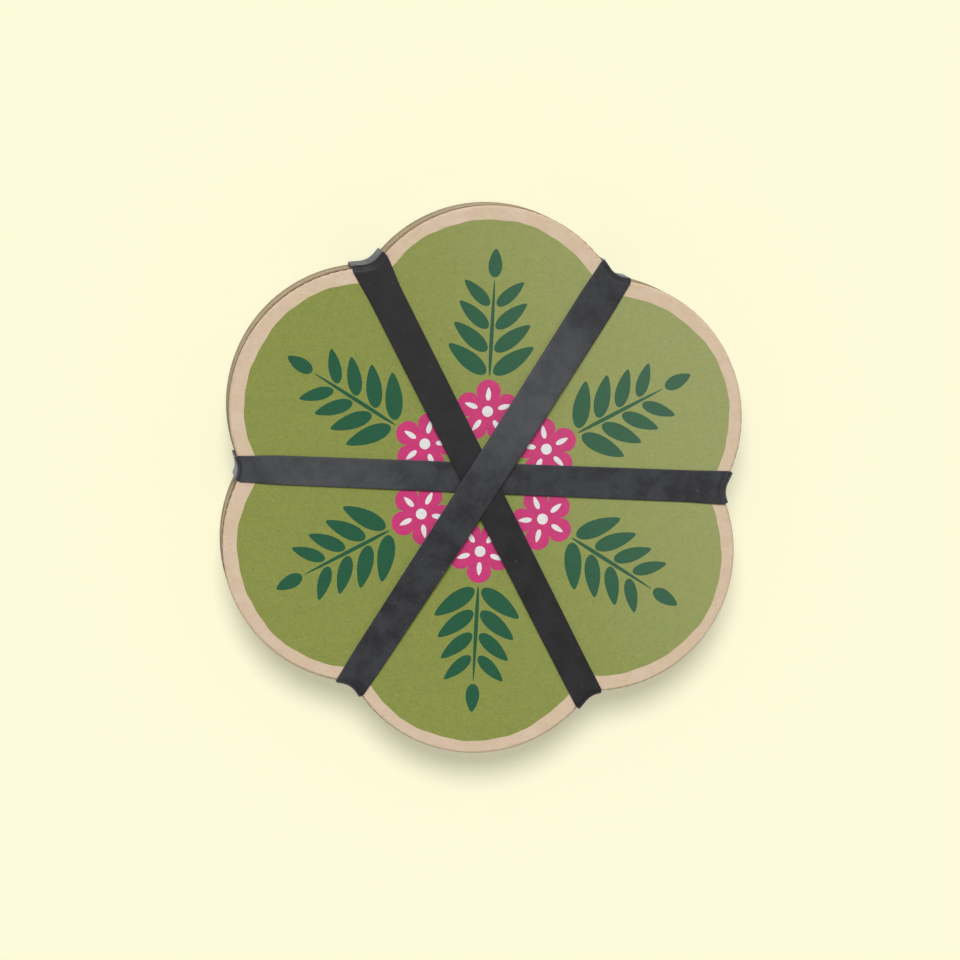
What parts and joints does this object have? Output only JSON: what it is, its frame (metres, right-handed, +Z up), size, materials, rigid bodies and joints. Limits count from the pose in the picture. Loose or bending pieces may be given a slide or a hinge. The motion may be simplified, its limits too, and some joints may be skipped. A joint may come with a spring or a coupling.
{
  "type": "flower press",
  "caption": "Flower press: two lobed plywood boards hold corrugated cards and blotting paper, shut by flat rubber bands that cross at the centre.",
  "frame": {"origin": "middle of the press's footprint, on the surface it rests on", "axes": "+Z up through the boards, printed board on top; +X to the right along the innermost band; +Y from lobe tip to lobe tip, the press's longest way"},
  "size_m": [0.1682, 0.18, 0.028],
  "materials": {
    "plywood": "bare sanded beech-faced plywood, the upper face printed in olive, dark green and magenta ink inside a bare margin",
    "corrugated_card": "matt brown kraft liners over fluted paper",
    "blotting_paper": "soft off-white felted paper",
    "rubber": "dark grey rubber, matt with a soft sheen"
  },
  "bodies": {
    "base": {"bottom_board": "plywood", "lower_band": "rubber", "middle_band": "rubber", "upper_band": "rubber"},
    "card_1": {"card_1": "corrugated_card"},
    "blotter_1": {"blotter_1": "blotting_paper"},
    "blotter_2": {"blotter_2": "blotting_paper"},
    "card_2": {"card_2": "corrugated_card"},
    "blotter_3": {"blotter_3": "blotting_paper"},
    "blotter_4": {"blotter_4": "blotting_paper"},
    "card_3": {"card_3": "corrugated_card"},
    "blotter_5": {"blotter_5": "blotting_paper"},
    "blotter_6": {"blotter_6": "blotting_paper"},
    "card_4": {"card_4": "corrugated_card"},
    "lid": {"top_board": "plywood"}
  },
  "joints": [
    {"name": "press_lift", "type": "slide", "parent": "base", "child": "lid", "axis": [0, 0, 1], "range_m": [0, 0.0165], "stiffness_N_per_m": 100, "springref_m": -0.005, "deforming": ["lower_band", "middle_band", "upper_band"]},
    {"name": "card_1_rise", "type": "slide", "parent": "base", "child": "card_1", "axis": [0, 0, 1], "range_m": [0, 0.0015]},
    {"name": "blotter_1_rise", "type": "slide", "parent": "base", "child": "blotter_1", "axis": [0, 0, 1], "range_m": [0, 0.003]},
    {"name": "blotter_2_rise", "type": "slide", "parent": "base", "child": "blotter_2", "axis": [0, 0, 1], "range_m": [0, 0.0045]},
    {"name": "card_2_rise", "type": "slide", "parent": "base", "child": "card_2", "axis": [0, 0, 1], "range_m": [0, 0.006]},
    {"name": "blotter_3_rise", "type": "slide", "parent": "base", "child": "blotter_3", "axis": [0, 0, 1], "range_m": [0, 0.0075]},
    {"name": "blotter_4_rise", "type": "slide", "parent": "base", "child": "blotter_4", "axis": [0, 0, 1], "range_m": [0, 0.009]},
    {"name": "card_3_rise", "type": "slide", "parent": "base", "child": "card_3", "axis": [0, 0, 1], "range_m": [0, 0.0105]},
    {"name": "blotter_5_rise", "type": "slide", "parent": "base", "child": "blotter_5", "axis": [0, 0, 1], "range_m": [0, 0.012]},
    {"name": "blotter_6_rise", "type": "slide", "parent": "base", "child": "blotter_6", "axis": [0, 0, 1], "range_m": [0, 0.0135]},
    {"name": "card_4_rise", "type": "slide", "parent": "base", "child": "card_4", "axis": [0, 0, 1], "range_m": [0, 0.015]}
  ],
  "couplings": [
    {"joint": "card_1_rise", "follows": "press_lift", "ratio": 0.090909},
    {"joint": "blotter_1_rise", "follows": "press_lift", "ratio": 0.18182},
    {"joint": "blotter_2_rise", "follows": "press_lift", "ratio": 0.27273},
    {"joint": "card_2_rise", "follows": "press_lift", "ratio": 0.36364},
    {"joint": "blotter_3_rise", "follows": "press_lift", "ratio": 0.45455},
    {"joint": "blotter_4_rise", "follows": "press_lift", "ratio": 0.54545},
    {"joint": "card_3_rise", "follows": "press_lift", "ratio": 0.63636},
    {"joint": "blotter_5_rise", "follows": "press_lift", "ratio": 0.72727},
    {"joint": "blotter_6_rise", "follows": "press_lift", "ratio": 0.81818},
    {"joint": "card_4_rise", "follows": "press_lift", "ratio": 0.90909}
  ]
}
